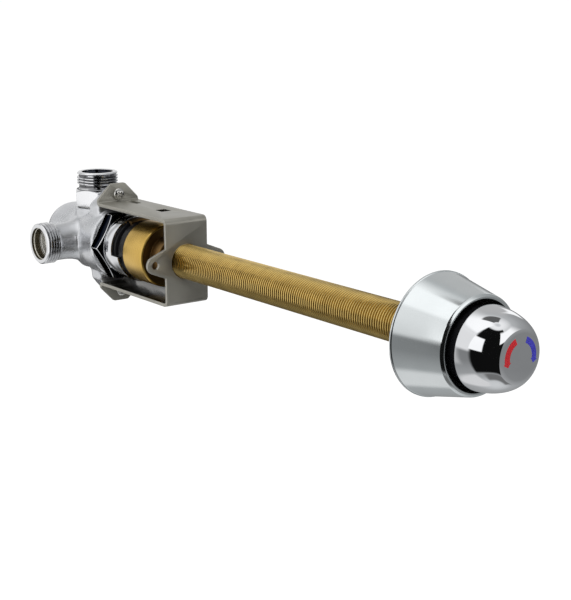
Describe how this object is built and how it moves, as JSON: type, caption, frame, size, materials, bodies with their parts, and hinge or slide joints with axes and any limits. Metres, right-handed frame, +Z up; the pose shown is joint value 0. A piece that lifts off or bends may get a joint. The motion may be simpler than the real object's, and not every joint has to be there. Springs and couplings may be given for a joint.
{
  "type": "wall-mounted shower mixer",
  "caption": "Push-button shower mixer with a valve behind the wall, a folded fixing bracket, a threaded tube through the wall, and a conical flange with a turning knob.",
  "frame": {"origin": "on the tube's axis, in the outer face of the bracket's front plate, midway between its two fixing holes", "axes": "+Z up towards the outlet, +Y along the tube away from the room, X across"},
  "size_m": [0.089, 0.4326, 0.0818],
  "materials": {
    "casting": "satin bead-blasted chrome over a brass casting",
    "nipple": "bright turned and plated brass",
    "gasket": "matt fibre and rubber",
    "nut": "dark satin plating",
    "collar": "bright plated",
    "head": "black engineering plastic",
    "brass": "machined, slightly dull",
    "tube": "threaded and polished",
    "flange": "mirror plated",
    "bush": "black engineering plastic",
    "bracket": "yellow-passivated zinc-plated steel sheet, satin",
    "screw": "zinc plated",
    "cartridge": "moulded engineering plastic",
    "seal": "black nitrile rubber",
    "strainer": "perforated stainless steel",
    "check": "natural acetal",
    "spring": "stainless wire",
    "knob": "mirror plated",
    "red": "red inlay",
    "blue": "blue inlay",
    "steel": "blackened steel"
  },
  "bodies": {
    "valve": {"valve_body": "casting", "outlet_nipple": "nipple", "outlet_gasket": "gasket", "bonnet_nut": "nut", "stop_collar": "collar", "head_ring": "head", "brass_cap": "brass", "threaded_tube": "tube", "wall_flange": "flange", "guide_bush": "bush", "bracket": "bracket", "bracket_screw_top": "screw", "bracket_screw_bottom": "screw", "cartridge_housing": "cartridge", "cartridge_end_cap": "cartridge", "cartridge_seals": "seal", "valve_seat": "brass", "inlet_sleeve_left": "brass", "inlet_sleeve_right": "brass", "inlet_filter_left": "strainer", "inlet_filter_right": "strainer", "check_valve_left": "check", "check_valve_right": "check", "check_spring_left": "spring", "check_spring_right": "spring", "inlet_clip_left": "spring", "inlet_clip_right": "spring"},
    "turning_head": {"driver": "cartridge", "stop_key": "brass", "mixing_drum": "cartridge"},
    "button": {"knob_cap": "knob", "hot_arrow": "red", "cold_arrow": "blue", "knob_carrier": "head", "knob_grub_screw": "steel", "control_rod": "brass", "piston": "brass", "piston_seal": "seal", "piston_nut": "brass", "return_spring": "spring"},
    "poppet_left": {"check_poppet_left": "check"},
    "poppet_right": {"check_poppet_right": "check"}
  },
  "joints": [
    {"name": "temperature_turn", "type": "hinge", "parent": "valve", "child": "turning_head", "pos_m": [0, 0, 0], "axis": [0, 1, 0], "range_deg": [-70, 70]},
    {"name": "push", "type": "slide", "parent": "turning_head", "child": "button", "axis": [0, 1, 0], "range_m": [0, 0.006], "stiffness_N_per_m": 1500, "springref_m": -0.01, "deforming": ["return_spring"]},
    {"name": "check_left", "type": "slide", "parent": "valve", "child": "poppet_left", "axis": [1, 0, 0], "range_m": [0, 0.0024], "stiffness_N_per_m": 100, "springref_m": -0.004, "deforming": ["check_spring_left"]},
    {"name": "check_right", "type": "slide", "parent": "valve", "child": "poppet_right", "axis": [-1, 0, 0], "range_m": [0, 0.0024], "stiffness_N_per_m": 100, "springref_m": -0.004, "deforming": ["check_spring_right"]}
  ]
}
